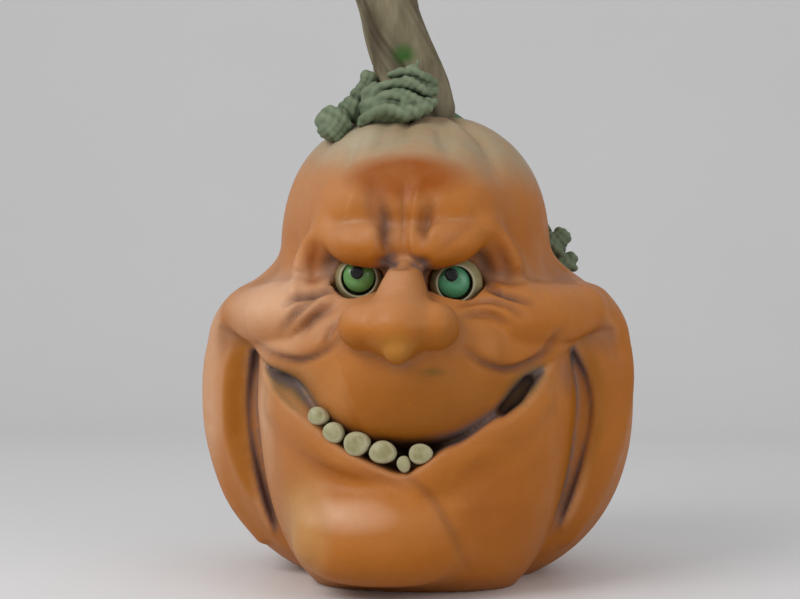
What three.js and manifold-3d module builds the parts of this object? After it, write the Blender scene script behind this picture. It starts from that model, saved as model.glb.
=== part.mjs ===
// A sculpted pumpkin ornament with a grinning face, in millimetres, +Z up, facing -Y.
// The origin is the middle of the flat base. The head is one solid casting: its skin is found by walking in
// from outside to a field of blended eggs and limbs. The stem, vine, leaves, glass eyes and pebble teeth are
// separate pieces let into it.
import * as THREE from "three";
import { mergeVertices } from "three/addons/utils/BufferGeometryUtils.js";
import Module from "manifold-3d";

const wasm = await Module();
wasm.setup();

// Driving dimensions
const WIDTH = 300; // across the cheeks
const GAP = 0.35; // clearance between a piece and its pocket
const SKULL_GRID = [54, 38]; // columns and rows of the skin
const JAW_GRID = [28, 20];
const FARTHEST = 230; // the skin's vertices start this far out,
const STRIDE = 3; // step in by this much until they are inside,
const HALVINGS = 14; // and then close in on the surface
const FLOOR_SNAP = 0.2;
const FRONT_CROWDING = 0.42; // how much closer the columns stand on the face than on the back
const EYES = [
  { side: "left", at: [-30.5, -88, 201], radius: 15.5, look: [1, 0.5], pupil: [-0.5, 3.5] },
  { side: "right", at: [31.5, -88, 198], radius: 17, look: [0.5, 0], pupil: [-2.2, 5.5] },
];
const IRIS = { radius: 10.2, depth: 4.5 };
const PUPIL = { radius: 4.1, depth: 2.6 };
// Each tooth is a pebble: centre x and z on the lip, half width, half height.
const TEETH = [
  [-51.5, 115.5, 5.8, 5.8],
  [-41.5, 105.5, 6.4, 6.3],
  [-27, 99, 8.2, 7.4],
  [-10.8, 94, 8.2, 7.2],
  [2.2, 86.9, 4.2, 5.1],
  [12.4, 93.2, 7.6, 6.1],
];
const TOOTH_DEPTH = 7;
// The lower lip runs from corner to corner of the grin: x, z.
const LIP = [
  [-94, 146], [-78, 128], [-55, 111], [-30, 92], [0, 82],
  [28, 96], [55, 113], [73, 125], [89, 146],
];
const STEM = {
  path: [
    [0, 4, 306], [-3, 3, 328], [-8, 2, 350], [-15, 1, 372],
    [-23, 0, 394], [-29, -2, 409], [-36, -4, 419],
  ],
  radius: [25, 24.5, 23, 22.5, 22, 21, 24],
  flutes: 7,
  flute_depth: 1.6,
  twist: 1.5,
};
const VINE = {
  path: [[16, 22, 319], [36, 44, 307], [58, 60, 285], [75, 62, 259], [88, 54, 236]],
  radius: 3.6,
};

// Field helpers. Each takes a point and gives its distance to a surface, less than 0 inside.
const v3 = (a) => new THREE.Vector3(...a);
const clamp = THREE.MathUtils.clamp;

function smoothUnion(a, b, blend) {
  const h = clamp(0.5 + (0.5 * (b - a)) / blend, 0, 1);
  return b + (a - b) * h - blend * h * (1 - h);
}

const smoothCut = (a, b, blend) => -smoothUnion(-a, b, blend);

// A piecewise linear curve through rising xs.
function curve(x, xs, ys) {
  if (x <= xs[0]) return ys[0];
  for (let i = 1; i < xs.length; i++)
    if (x <= xs[i]) return ys[i - 1] + ((ys[i] - ys[i - 1]) * (x - xs[i - 1])) / (xs[i] - xs[i - 1]);
  return ys[ys.length - 1];
}

function egg(p, centre, radii, power = 2) {
  const u = [p.x, p.y, p.z].map((along, i) => Math.abs(along - centre[i]) / radii[i]);
  const total = u.reduce((sum, v) => sum + v ** power, 1e-12);
  const slope = Math.hypot(...u.map((v, i) => v ** (power - 1) / radii[i])) * total ** (1 / power - 1) + 1e-9;
  return (total ** (1 / power) - 1) / slope;
}

function limb(p, points, radii) {
  let best = Infinity;
  for (let i = 1; i < points.length; i++) {
    const along = points[i].clone().sub(points[i - 1]);
    const from = p.clone().sub(points[i - 1]);
    const t = clamp(from.dot(along) / along.lengthSq(), 0, 1);
    const radius = radii[i - 1] + (radii[i] - radii[i - 1]) * t;
    best = Math.min(best, from.addScaledVector(along, -t).length() - radius);
  }
  return best;
}

const mirrored = (points) => points.map(([x, y, z]) => [-x, y, z]);

// The head
const CHEEK = [[40, -99, 173], [62, -95, 175], [86, -78, 177], [113, -47, 182]];
const CHEEK_RADII = [14, 21, 18, 8];
const SIDE_RIM = [[117, -20, 182], [131, -22, 164], [135, -22, 136], [131, -23, 98], [118, -25, 56]];
const SIDE_RIM_RADII = [9, 10, 11, 11, 7];
// The grooves beside the jaw: x, z from the cheek down.
const GROOVE = [[110, 152], [111, 128], [108, 100], [102, 70], [91, 38], [76, 4]];
const GROOVE_BACK = -42;
const BROW = [[6, -99, 219], [20, -105, 218], [34, -103, 223], [45, -93, 233]];
const BROW_RADII = [12, 13.5, 12, 8];
const TEMPLE = [[50, -84, 234], [57, -83, 222], [63, -80, 209], [65, -76, 198]];
const TEMPLE_RADII = [9, 9.5, 9, 5];
const BRIDGE = [[1, -106, 213], [1, -117, 200], [1, -132, 184], [1, -138, 172]];
const BRIDGE_RADII = [8, 13, 18, 20];
const NOSE_TIP = [[0, -144, 171], [1, -154, 160]];
const JAW_MIDDLE = [1, -36, 100];
const JAW_RADII = [WIDTH * 0.35, 94, 124];
const JAW_RISE = 177; // how far the jaw's egg would reach up if the mouth didn't cut it
const LOBE_MIDDLE = [-1.5, 20, 125];
const LOBE_DROP = 140; // the side lobes are taller below their middle
const LOBE_RISE = 97; // than above it
const RIBS = 5; // grooves to a half turn of the back
const RIB_DEPTH = 5;

// How far forward the jaw stands at a given x, half way up.
const jawFront = (x) =>
  JAW_MIDDLE[1] - JAW_RADII[1] * (1 - Math.min(Math.abs(x) / JAW_RADII[0], 0.99) ** 2.6) ** (1 / 2.6);
const grooveHalf = (t) => 2 + 5 * Math.sin(Math.PI * Math.min(1, 0.25 + 0.75 * t));

function bothSides(p, d, points, radii, blend) {
  for (const path of [points, mirrored(points)]) d = smoothUnion(d, limb(p, path.map(v3), radii), blend);
  return d;
}

// Everything but the jaw: dome, side lobes with their rims, cheeks, upper lip, brows and nose.
function skullField(p) {
  const lobeHeight = p.z < LOBE_MIDDLE[2] ? LOBE_DROP : LOBE_RISE;
  let lobes = egg(p, LOBE_MIDDLE, [WIDTH / 2, 104, lobeHeight], 2.4);
  lobes = bothSides(p, lobes, SIDE_RIM, SIDE_RIM_RADII, 10);
  let dome = egg(p, [-3, 8, 212], [93, 84, 104], 2.55);
  dome = smoothUnion(dome, egg(p, [-3, -42, 238], [68, 58, 60], 2.2), 18);
  dome = smoothUnion(dome, egg(p, [0, -12, 176], [124, 90, 30], 2.2), 26);
  dome = bothSides(p, dome, CHEEK, CHEEK_RADII, 24);
  dome = smoothUnion(dome, egg(p, [3, -80, 145], [69, 59, 51], 2.6), 6);
  let d = smoothUnion(dome, lobes, curve(p.y, [-50, -12], [4, 28]));
  d = bothSides(p, d, BROW, BROW_RADII, 7);
  d = bothSides(p, d, TEMPLE, TEMPLE_RADII, 8);
  d = smoothUnion(d, limb(p, BRIDGE.map(v3), BRIDGE_RADII), 5);
  for (const side of [-1, 1]) d = smoothUnion(d, egg(p, [side * 22.5, -139, 172], [14.5, 16, 14.5]), 8);
  d = smoothUnion(d, limb(p, NOSE_TIP.map(v3), [19, 9]), 8);

  // ribs on the back, and the hollow that the stem stands in
  const rib = Math.abs(Math.sin(Math.atan2(p.x, p.y - 10) * RIBS));
  d += RIB_DEPTH * clamp((p.y + 20) / 60, 0, 1) * Math.exp(-((rib / 0.28) ** 2));
  return smoothCut(d, egg(p, [0, 5, 326], [34, 32, 14]), 10);
}

// The jaw narrows towards the floor.
function jawField(p) {
  const taper = 1 - 0.12 * clamp((118 - p.z) / 118, 0, 1);
  const [across, deep, down] = JAW_RADII;
  const height = p.z < JAW_MIDDLE[2] ? down : JAW_RISE;
  return egg({ x: p.x / taper, y: p.y, z: p.z }, JAW_MIDDLE, [across, deep, height], 2.5);
}

// A sphere whose vertices walk in along their own radius until they meet the field or the floor.
function skin(field, middle, columns, rows) {
  const geometry = new THREE.SphereGeometry(1, columns, rows).rotateX(Math.PI / 2);
  const at = geometry.getAttribute("position");
  const ray = new THREE.Vector3();
  const point = new THREE.Vector3();
  const outside = (far) => {
    point.copy(middle).addScaledVector(ray, far);
    return Math.max(field(point), -point.z) > 0;
  };
  for (let i = 0; i < at.count; i++) {
    ray.fromBufferAttribute(at, i);
    const flat = Math.hypot(ray.x, ray.y);
    const turn = Math.atan2(ray.x, -ray.y);
    const crowded = turn - FRONT_CROWDING * Math.sin(turn);
    ray.set(Math.sin(crowded) * flat, -Math.cos(crowded) * flat, ray.z);
    let near = FARTHEST;
    while (near > 0 && outside(near)) near -= STRIDE;
    let far = near + STRIDE;
    for (let k = 0; k < HALVINGS; k++) {
      const half = (near + far) / 2;
      if (outside(half)) far = half;
      else near = half;
    }
    point.copy(middle).addScaledVector(ray, near);
    at.setXYZ(i, point.x, point.y, point.z < FLOOR_SNAP ? 0 : point.z);
  }
  return geometry;
}

// The open space above the lower lip, as a block across the jaw.
function mouthGeometry() {
  const lip = new THREE.SplineCurve(LIP.map(([x, z]) => new THREE.Vector2(x, z)));
  const outline = new THREE.Shape(lip.getPoints(24));
  outline.lineTo(WIDTH / 2, LIP.at(-1)[1]).lineTo(WIDTH / 2, WIDTH).lineTo(-WIDTH / 2, WIDTH);
  outline.lineTo(-WIDTH / 2, LIP[0][1]);
  return new THREE.ExtrudeGeometry(outline, { depth: WIDTH, bevelEnabled: false })
    .rotateX(Math.PI / 2)
    .translate(0, WIDTH / 2, 0);
}

// The slot between the jaw and a side lobe, as a tapering outline carried back from the front.
function grooveGeometry(side) {
  const middle = new THREE.SplineCurve(GROOVE.map(([x, z]) => new THREE.Vector2(side * x, z))).getPoints(16);
  const edge = (way) =>
    middle.map((point, i) => point.clone().add(new THREE.Vector2((way * grooveHalf(i / 16)), 0)));
  const outline = new THREE.Shape([...edge(side), ...edge(-side).reverse()]);
  return new THREE.ExtrudeGeometry(outline, { depth: WIDTH, bevelEnabled: false })
    .rotateX(Math.PI / 2)
    .translate(0, GROOVE_BACK, 0);
}

// Solids
function solid(geometry) {
  const bare = geometry.clone();
  bare.deleteAttribute("normal");
  bare.deleteAttribute("uv");
  const merged = mergeVertices(bare, 1e-3);
  return new wasm.Manifold(
    new wasm.Mesh({
      numProp: 3,
      vertProperties: merged.getAttribute("position").array,
      triVerts: new Uint32Array(merged.index.array),
    }),
  );
}

function geometryOf(manifold) {
  const mesh = manifold.getMesh();
  return new THREE.BufferGeometry()
    .setAttribute("position", new THREE.BufferAttribute(mesh.vertProperties, 3))
    .setIndex(new THREE.BufferAttribute(mesh.triVerts, 1));
}

// An egg-shaped piece, or its pocket when grown by the gap.
function pebble(centre, radii, grow = 0, columns = 12, rows = 8) {
  return solid(
    new THREE.SphereGeometry(1, columns, rows)
      .rotateX(Math.PI / 2)
      .scale(...radii.map((r) => r + grow))
      .translate(...centre),
  );
}

// A cylinder carried along a smooth path, fluted and twisted.
function stemGeometry(grow = 0) {
  const path = new THREE.CatmullRomCurve3(STEM.path.map(v3));
  const geometry = new THREE.CylinderGeometry(1, 1, 1, 28, 11).rotateX(Math.PI / 2);
  const at = geometry.getAttribute("position");
  for (let i = 0; i < at.count; i++) {
    const t = at.getZ(i) + 0.5;
    const turn = Math.atan2(at.getY(i), at.getX(i));
    const radius = curve(t * (STEM.radius.length - 1), STEM.radius.map((_, k) => k), STEM.radius);
    const flute = STEM.flute_depth * Math.cos(STEM.flutes * (turn + STEM.twist * t));
    const reach = Math.hypot(at.getX(i), at.getY(i)) * (radius + flute + grow);
    const tangent = path.getTangent(t);
    const across = new THREE.Vector3(0, 1, 0).cross(tangent).normalize();
    const forward = tangent.clone().cross(across);
    const end = t === 0 ? -grow : 0;
    const point = path
      .getPoint(t)
      .addScaledVector(across, Math.cos(turn) * reach)
      .addScaledVector(forward, Math.sin(turn) * reach)
      .addScaledVector(tangent, end);
    at.setXYZ(i, point.x, point.y, point.z);
  }
  return geometry;
}

function vineGeometry(grow = 0) {
  const section = new THREE.Shape().absarc(0, 0, VINE.radius + grow, 0, 2 * Math.PI);
  const path = new THREE.CatmullRomCurve3(VINE.path.map(v3));
  return new THREE.ExtrudeGeometry(section, { extrudePath: path, steps: 14, curveSegments: 4 });
}

// Leaves with plump rolled lobes, each a clump of eggs: centre, radii.
const LEAVES = {
  leaf_front: [
    [[-14, -38, 316], [25, 14, 12]],
    [[-3, -30, 334], [17, 11, 13]],
    [[-24, -30, 324], [14, 11, 13]],
  ],
  leaf_left: [
    [[-55, -33, 306], [13, 14, 12]],
    [[-44, -22, 316], [11, 12, 10]],
    [[-38, -13, 326], [8, 9, 10]],
    [[-35, -8, 337], [6.5, 7, 9]],
  ],
  leaf_right: [
    [[90, 44, 224], [12, 18, 14]],
    [[96, 42, 231], [8, 10, 8]],
    [[100, 42, 212], [12, 16, 10]],
    [[104, 42, 216], [6, 8, 6]],
  ],
};

function leaf(eggs, grow = 0) {
  return eggs.map(([centre, radii]) => pebble(centre, radii, grow)).reduce((a, b) => a.add(b));
}

// Colours
const paint = (name, color, roughness) =>
  new THREE.MeshStandardMaterial({ name, color, roughness, metalness: 0 });
const SKIN = paint("orange_skin", 0xb06a32, 0.55);
const STEM_BROWN = paint("stem_brown", 0x6f6550, 0.8);
const LEAF_GREEN = paint("leaf_green", 0x63806a, 0.65);
const EYE_WHITE = paint("eye_white", 0xa9a48c, 0.3);
const IRIS_GREEN = paint("iris_green", 0x4f8a55, 0.2);
const PUPIL_BLACK = paint("pupil_black", 0x101010, 0.15);
const TOOTH_CREAM = paint("tooth_cream", 0xb0ab88, 0.4);

// Assembly
const pumpkin = new THREE.Group();

function place(name, manifold, material) {
  const mesh = new THREE.Mesh(geometryOf(manifold), material);
  mesh.name = name;
  pumpkin.add(mesh);
}

const jaw = solid(skin(jawField, v3(JAW_MIDDLE), ...JAW_GRID)).subtract(solid(mouthGeometry()));
let head = solid(skin(skullField, v3([0, -5, 150]), ...SKULL_GRID)).add(jaw);
for (const side of [-1, 1]) head = head.subtract(solid(grooveGeometry(side)));
const stem = solid(stemGeometry());
const stemPocket = solid(stemGeometry(GAP));
head = head.subtract(stemPocket);

const vine = solid(vineGeometry()).subtract(stemPocket);
const vinePocket = solid(vineGeometry(GAP));
head = head.subtract(vinePocket);
const frontLeafPocket = leaf(LEAVES.leaf_front, GAP);
for (const [name, eggs] of Object.entries(LEAVES)) {
  head = head.subtract(leaf(eggs, GAP));
  let body = leaf(eggs).subtract(stemPocket).subtract(vinePocket);
  if (name !== "leaf_front") body = body.subtract(frontLeafPocket);
  place(name, body, LEAF_GREEN);
}

for (const { side, at, radius, look, pupil } of EYES) {
  const ball = [radius, radius, radius];
  const irisAt = [at[0] + look[0], at[1] - radius + IRIS.depth - 1.6, at[2] + look[1]];
  const pupilAt = [irisAt[0] + pupil[0], irisAt[1] - IRIS.depth * 0.62, irisAt[2] + pupil[1]];
  const irisRadii = [IRIS.radius, IRIS.depth, IRIS.radius];
  const pupilRadii = [PUPIL.radius, PUPIL.depth, PUPIL.radius];
  const irisPocket = pebble(irisAt, irisRadii, GAP, 16, 8);
  const pupilPocket = pebble(pupilAt, pupilRadii, GAP);
  const socket = pebble([at[0], -100, at[2] - 1], [18, 28, 14], 0, 20, 12);
  const ballPocket = pebble(at, ball, GAP, 20, 14);
  head = head.subtract(socket).subtract(ballPocket).subtract(irisPocket).subtract(pupilPocket);
  const eyeball = pebble(at, ball, 0, 20, 14).subtract(irisPocket).subtract(pupilPocket);
  place(`eyeball_${side}`, eyeball, EYE_WHITE);
  place(`iris_${side}`, pebble(irisAt, irisRadii, 0, 16, 8).subtract(pupilPocket), IRIS_GREEN);
  place(`pupil_${side}`, pebble(pupilAt, pupilRadii), PUPIL_BLACK);
}

TEETH.forEach(([x, z, halfWidth, halfHeight], i) => {
  const centre = [x, jawFront(x) + 4, z];
  const radii = [halfWidth, TOOTH_DEPTH, halfHeight];
  head = head.subtract(pebble(centre, radii, GAP));
  place(`tooth_${i + 1}`, pebble(centre, radii), TOOTH_CREAM);
});

place("stem", stem, STEM_BROWN);
place("vine", vine, LEAF_GREEN);
place("pumpkin_head", head, SKIN);

export default pumpkin;
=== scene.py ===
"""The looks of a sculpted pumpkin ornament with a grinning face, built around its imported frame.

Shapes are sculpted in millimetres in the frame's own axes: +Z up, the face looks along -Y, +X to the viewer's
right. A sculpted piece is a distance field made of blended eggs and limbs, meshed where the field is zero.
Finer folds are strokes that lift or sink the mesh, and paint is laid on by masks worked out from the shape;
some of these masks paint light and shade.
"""
import math

import bpy
import numpy as np
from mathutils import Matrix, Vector


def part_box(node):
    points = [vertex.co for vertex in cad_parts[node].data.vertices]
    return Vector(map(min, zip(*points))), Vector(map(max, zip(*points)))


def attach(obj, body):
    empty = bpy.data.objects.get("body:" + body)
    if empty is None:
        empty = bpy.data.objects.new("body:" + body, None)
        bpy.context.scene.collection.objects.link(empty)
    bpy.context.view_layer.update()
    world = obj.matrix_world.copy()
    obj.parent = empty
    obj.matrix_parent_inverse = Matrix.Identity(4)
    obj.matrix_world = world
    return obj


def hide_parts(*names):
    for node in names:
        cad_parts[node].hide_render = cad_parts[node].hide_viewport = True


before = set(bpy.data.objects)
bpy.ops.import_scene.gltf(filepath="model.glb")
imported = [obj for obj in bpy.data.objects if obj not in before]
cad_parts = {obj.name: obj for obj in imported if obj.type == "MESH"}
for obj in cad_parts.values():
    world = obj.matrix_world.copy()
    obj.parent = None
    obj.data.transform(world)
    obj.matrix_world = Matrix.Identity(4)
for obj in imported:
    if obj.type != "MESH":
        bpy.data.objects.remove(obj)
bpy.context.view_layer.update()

MM = 0.001
HEAD_STEP = 2.2  # grid pitch of the head's mesh
LEAF_STEP = 1.1
FAR = 1000.0  # stands for "nowhere near"
REACH = 26.0  # how far round a form its distance is worked out


# -------- places from the frame

def node_box(node):
    """Lowest and highest corner of a CAD node, in millimetres."""
    low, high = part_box(node)
    return np.array(low) / MM, np.array(high) / MM


def node_middle(node):
    low, high = node_box(node)
    return (low + high) / 2


def node_half(node):
    low, high = node_box(node)
    return (high - low) / 2


HEAD_LOW, HEAD_HIGH = node_box("pumpkin_head")
HALF_WIDTH = (HEAD_HIGH[0] - HEAD_LOW[0]) / 2
SIDES = {"left": -1, "right": 1}


# -------- distance fields

def row(*values):
    return np.array(values, float)


def smooth_union(a, b, blend):
    h = np.clip(0.5 + 0.5 * (b - a) / blend, 0, 1)
    return b + (a - b) * h - blend * h * (1 - h)


def smooth_cut(a, b, blend):
    """a with b taken out of it."""
    return -smooth_union(-a, b, blend)


def only_near(p, low, high, otherwise, measure):
    """measure(points) for the points in a box, and otherwise for the rest."""
    out = np.full(len(p), float(otherwise))
    near = ((p > low) & (p < high)).all(1)
    if near.any():
        out[near] = measure(p[near])
    return out


def egg(p, centre, radii, power=2.0, plan=None):
    """Distance to an ellipsoid. A power over 2 squares it off; plan is that power seen from above."""
    centre, radii = row(*centre), row(*radii)
    plan = plan or power

    def measure(q):
        u = np.abs(q - centre) / radii + 1e-9
        flat = (u[:, 0] ** plan + u[:, 1] ** plan) ** (1 / plan)
        k = (flat**power + u[:, 2] ** power) ** (1 / power)
        by_flat = (flat / k) ** (power - 1)
        slope = np.stack([
            by_flat * (u[:, 0] / flat) ** (plan - 1) / radii[0],
            by_flat * (u[:, 1] / flat) ** (plan - 1) / radii[1],
            (u[:, 2] / k) ** (power - 1) / radii[2],
        ])
        return (k - 1) / (np.sqrt((slope**2).sum(0)) + 1e-9)

    return only_near(p, centre - radii - REACH, centre + radii + REACH, FAR, measure)


def along_line(q, line):
    """Distance from each point to a polyline, and how far along it the nearest place is, from 0 to 1."""
    best = np.full(len(q), np.inf)
    place = np.zeros(len(q))
    for i in range(len(line) - 1):
        step = line[i + 1] - line[i]
        t = np.clip(((q - line[i]) @ step) / (step @ step), 0, 1)
        d = ((q - line[i] - t[:, None] * step) ** 2).sum(1)
        closer = d < best
        best[closer] = d[closer]
        place[closer] = (i + t[closer]) / (len(line) - 1)
    return np.sqrt(best), place


def spline(points, steps=5):
    """A smooth curve through points (Catmull-Rom)."""
    pts = np.asarray(points, float)
    ext = np.vstack([2 * pts[0] - pts[1], pts, 2 * pts[-1] - pts[-2]])
    out = []
    for a, b, c, d in zip(ext[:-3], ext[1:-2], ext[2:-1], ext[3:]):
        for t in np.arange(steps) / steps:
            cubic = 3 * b - a - 3 * c + d
            out.append(0.5 * (2 * b + (c - a) * t + (2 * a - 5 * b + 4 * c - d) * t**2 + cubic * t**3))
    out.append(pts[-1])
    return np.array(out)


def spread(values, place):
    """Values given at even places along something, read off at place."""
    return np.interp(place, np.linspace(0, 1, len(values)), values)


def limb(p, points, radii):
    """Distance to a tube along a smooth curve, with radii given at even places along it."""
    line = spline(points)
    room = max(radii) + REACH

    def measure(q):
        d, place = along_line(q, line)
        return d - spread(radii, place)

    return only_near(p, line.min(0) - room, line.max(0) + room, FAR, measure)


def channel(p, points, half_widths, back):
    """Distance to a slot along (x, z) points, cut from the front as far back as y = back."""
    line = spline(points)
    room = max(half_widths) + REACH
    low = row(line[:, 0].min() - room, -FAR, line[:, 1].min() - room)
    high = row(line[:, 0].max() + room, back + REACH, line[:, 1].max() + room)

    def measure(q):
        d, place = along_line(q[:, [0, 2]], line)
        return np.maximum(d - spread(half_widths, place), q[:, 1] - back)

    return only_near(p, low, high, FAR, measure)


def mirror(points):
    return [(-x, *rest) for x, *rest in points]


def sided(points, side):
    return points if side > 0 else mirror(points)


# -------- meshing

def cross_places(values, axis):
    """Where the field changes sign along an axis, and how far along each grid edge."""
    a = [slice(None)] * 3
    b = [slice(None)] * 3
    a[axis], b[axis] = slice(None, -1), slice(1, None)
    va, vb = values[tuple(a)], values[tuple(b)]
    cross = (va < 0) != (vb < 0)
    return cross, np.where(cross, va / np.where(cross, va - vb, 1), 0)


def surface_nets(values, low, step):
    """A quad mesh of a grid of distances: one vertex in each cell that the surface crosses."""
    total = np.zeros(tuple(n - 1 for n in values.shape) + (3,))
    count = np.zeros(total.shape[:3])
    for axis in range(3):
        cross, t = cross_places(values, axis)
        first, second = [o for o in range(3) if o != axis]
        for i in (0, 1):
            for j in (0, 1):
                s = [slice(None)] * 3
                s[first] = slice(i, values.shape[first] - 1 + i)
                s[second] = slice(j, values.shape[second] - 1 + j)
                c = cross[tuple(s)]
                total[..., axis] += t[tuple(s)]
                total[..., first] += c * i
                total[..., second] += c * j
                count += c
    active = count > 0
    number = np.full(active.shape, -1)
    number[active] = np.arange(active.sum())
    verts = low + (np.argwhere(active) + total[active] / count[active][:, None]) * step
    quads = []
    for axis in range(3):
        first, second = (axis + 1) % 3, (axis + 2) % 3
        a = [slice(1, -1)] * 3
        b = [slice(1, -1)] * 3
        a[axis], b[axis] = slice(0, -1), slice(1, None)
        inside_a, inside_b = values[tuple(a)] < 0, values[tuple(b)] < 0
        at = np.argwhere(inside_a != inside_b)
        outward = inside_a[tuple(at.T)]
        corners = []
        for i, j in ((0, 0), (1, 0), (1, 1), (0, 1)):
            cell = at.copy()
            cell[:, first] += i
            cell[:, second] += j
            corners.append(number[tuple(cell.T)])
        quad = np.stack(corners, 1)
        quad[~outward] = quad[~outward][:, ::-1]
        quads.append(quad)
    return verts, np.concatenate(quads)


def main_body(verts, quads):
    """The mesh without crumbs: its largest connected part alone."""
    label = np.arange(len(verts))
    settled = False
    while not settled:
        joined = label.copy()
        lowest = label[quads].min(1)
        for corner in quads.T:
            np.minimum.at(joined, corner, lowest)
        joined = joined[joined]
        settled = (joined == label).all()
        label = joined
    kept = label == np.bincount(label).argmax()
    number = np.cumsum(kept) - 1
    return verts[kept], number[quads[kept[quads[:, 0]]]]


def grow(mask):
    """The mask with its neighbours along each axis."""
    out = mask.copy()
    for axis in range(3):
        a = [slice(None)] * 3
        b = [slice(None)] * 3
        a[axis], b[axis] = slice(1, None), slice(None, -1)
        out[tuple(a)] |= mask[tuple(b)]
        out[tuple(b)] |= mask[tuple(a)]
    return out


def mesh_field(field, low, high, step, coarse=4, slack=4.0):
    """A quad mesh of field = 0, worked out on a coarse grid first and then finely near the surface."""
    low, high = row(*low), row(*high)
    cells = np.ceil((high - low) / (step * coarse)).astype(int)
    axes = [low[i] + step * coarse * np.arange(cells[i] + 1) for i in range(3)]
    rough = field(np.stack(np.meshgrid(*axes, indexing="ij"), -1).reshape(-1, 3)).reshape(cells + 1)
    near = grow(np.abs(rough) < step * coarse * 1.8 + slack)
    nearest = [np.minimum((np.arange(n * coarse + 1) + coarse // 2) // coarse, n) for n in cells]
    near = near[np.ix_(*nearest)]
    values = np.where(rough < 0, -FAR, FAR)[np.ix_(*nearest)]
    values[near] = field(low + np.argwhere(near) * step)
    verts, quads = main_body(*surface_nets(values, low, step))
    return settle(verts, field), quads


def field_normals(p, field, reach=0.4):
    slope = np.stack([field(p + reach * axis) - field(p - reach * axis) for axis in np.eye(3)], 1)
    return slope / (np.linalg.norm(slope, axis=1, keepdims=True) + 1e-9)


def settle(verts, field, rounds=2, most=1.5):
    """Moves vertices onto the surface."""
    for _ in range(rounds):
        verts = verts - np.clip(field(verts), -most, most)[:, None] * field_normals(verts, field)
    return verts


def new_object(name, verts, faces):
    """A smoothly shaded mesh object from vertices in millimetres."""
    mesh = bpy.data.meshes.new(name)
    mesh.from_pydata((np.asarray(verts) * MM).tolist(), [], [[int(i) for i in face] for face in faces])
    mesh.validate()
    mesh.update()
    mesh.shade_smooth()
    obj = bpy.data.objects.new(name, mesh)
    bpy.context.scene.collection.objects.link(obj)
    return obj


def add_mask(obj, name, values):
    """A number at each vertex, which a material reads by name."""
    layer = obj.data.attributes.new(name, "FLOAT", "POINT")
    layer.data.foreach_set("value", np.asarray(values, np.float32))


def tube_faces(rings, columns):
    """Faces of a closed tube: quads between its rings, and fans round its first and its last vertex."""
    last = 1 + rings * columns
    faces = []
    for j in range(columns):
        k = (j + 1) % columns
        faces.append((0, 1 + k, 1 + j))
        for a in range(1, last - columns, columns):
            faces.append((a + j, a + k, a + columns + k, a + columns + j))
        faces.append((last, last - columns + j, last - columns + k))
    return faces


def tube(rings):
    """Vertices and faces of a tube round rings of points, each end closed by a fan to its middle."""
    rings = np.asarray(rings)
    verts = np.vstack([rings[0].mean(0), rings.reshape(-1, 3), rings[-1].mean(0)])
    return verts, tube_faces(*rings.shape[:2])


def turned(profile, columns=48):
    """Rings turned about +Z from (radius, height) points."""
    turn = 2 * np.pi * np.arange(columns) / columns
    across = np.stack([np.cos(turn), np.sin(turn)], 1)
    return [np.column_stack([r * across, np.full(columns, h)]) for r, h in profile]


def aimed(verts, origin, axis):
    """Points made about +Z, set at an origin and turned to face along an axis."""
    turn = np.array(Vector(axis).to_track_quat("Z", "Y").to_matrix())
    return verts @ turn.T + origin


def swept(path, radii, columns, relief):
    """Rings carried along a smooth path. The skin stands out by relief(turn, share); turn 0 is the front."""
    line = spline(path, 16)
    turn = 2 * np.pi * np.arange(columns) / columns
    rings = []
    for share, point, ahead in zip(np.linspace(0, 1, len(line)), line, np.gradient(line, axis=0)):
        ahead = ahead / np.linalg.norm(ahead)
        right = np.cross(row(0, 1, 0), ahead)
        right = right / np.linalg.norm(right)
        front = np.cross(right, ahead)
        reach = (spread(radii, share) + relief(turn, share))[:, None]
        rings.append(point + reach * (np.cos(turn)[:, None] * front + np.sin(turn)[:, None] * right))
    return rings


# -------- the head's forms

def eye_centre(side):
    """Middle of the glass ball, measured from its back because the front is let in for the iris."""
    middle, radius = node_middle(f"eyeball_{side}"), EYE_RADIUS[side]
    return row(middle[0], node_box(f"eyeball_{side}")[1][1] - radius, middle[2])


EYE_RADIUS = {side: node_half(f"eyeball_{side}")[0] for side in SIDES}
EYES = {side: eye_centre(side) for side in SIDES}
CREASE = 3.0  # blend where forms meet in a crisp crease
SOFT_JOIN = 25.0  # how much wider the hood's blend into the body is at the shoulders and behind

# Eggs are (centre, radii, power, power seen from above), and limbs are (points, radii). A form that both
# sides of the face share is given for the right side.
DOME = ((-3, 8, 212), (93, 84, 104), 2.55)
FOREHEAD = ((-3, -42, 238), (68, 58, 60), 2.2)
SKIRT = ((0, -12, 172), (127, 92, 38), 2.2)
SKIRT_EDGE = 151  # height of the skirt's lower edge in the middle
SKIRT_LIFT = 22  # how much higher that edge is at the sides
SKIRT_REACH = 125
CHEEKS = {
    "left": [(-40, -98, 175), (-64, -93, 177), (-88, -76, 177), (-114, -46, 180)],
    "right": [(40, -100, 172), (60, -97, 174), (84, -80, 176), (112, -48, 184)],
}
CHEEK_RADII = [14, 21, 18, 8]

LOBE_MIDDLE = (-1.5, 20, 125)
LOBE_RADII = (HALF_WIDTH - 1, 104, 140)  # the height is below the middle
LOBE_RISE = 97  # height above the middle
LOBE_POWER = 2.4
RIMS = {
    "left": [
        (-116, -20, 180), (-131, -22, 164), (-136, -22, 136),
        (-134, -23, 98), (-123, -25, 56), (-106, -24, 26),
    ],
    "right": [
        (118, -20, 183), (132, -22, 164), (135, -22, 136),
        (129, -23, 98), (113, -25, 56), (102, -24, 30),
    ],
}
RIM_RADII = [9, 10, 11, 11, 8, 3]
SIDE_HOLLOW = (
    [(112, -66, 178), (118, -65, 140), (117, -64, 100), (107, -68, 60), (92, -76, 28)],
    [13, 19, 20, 17, 8],
)
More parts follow.
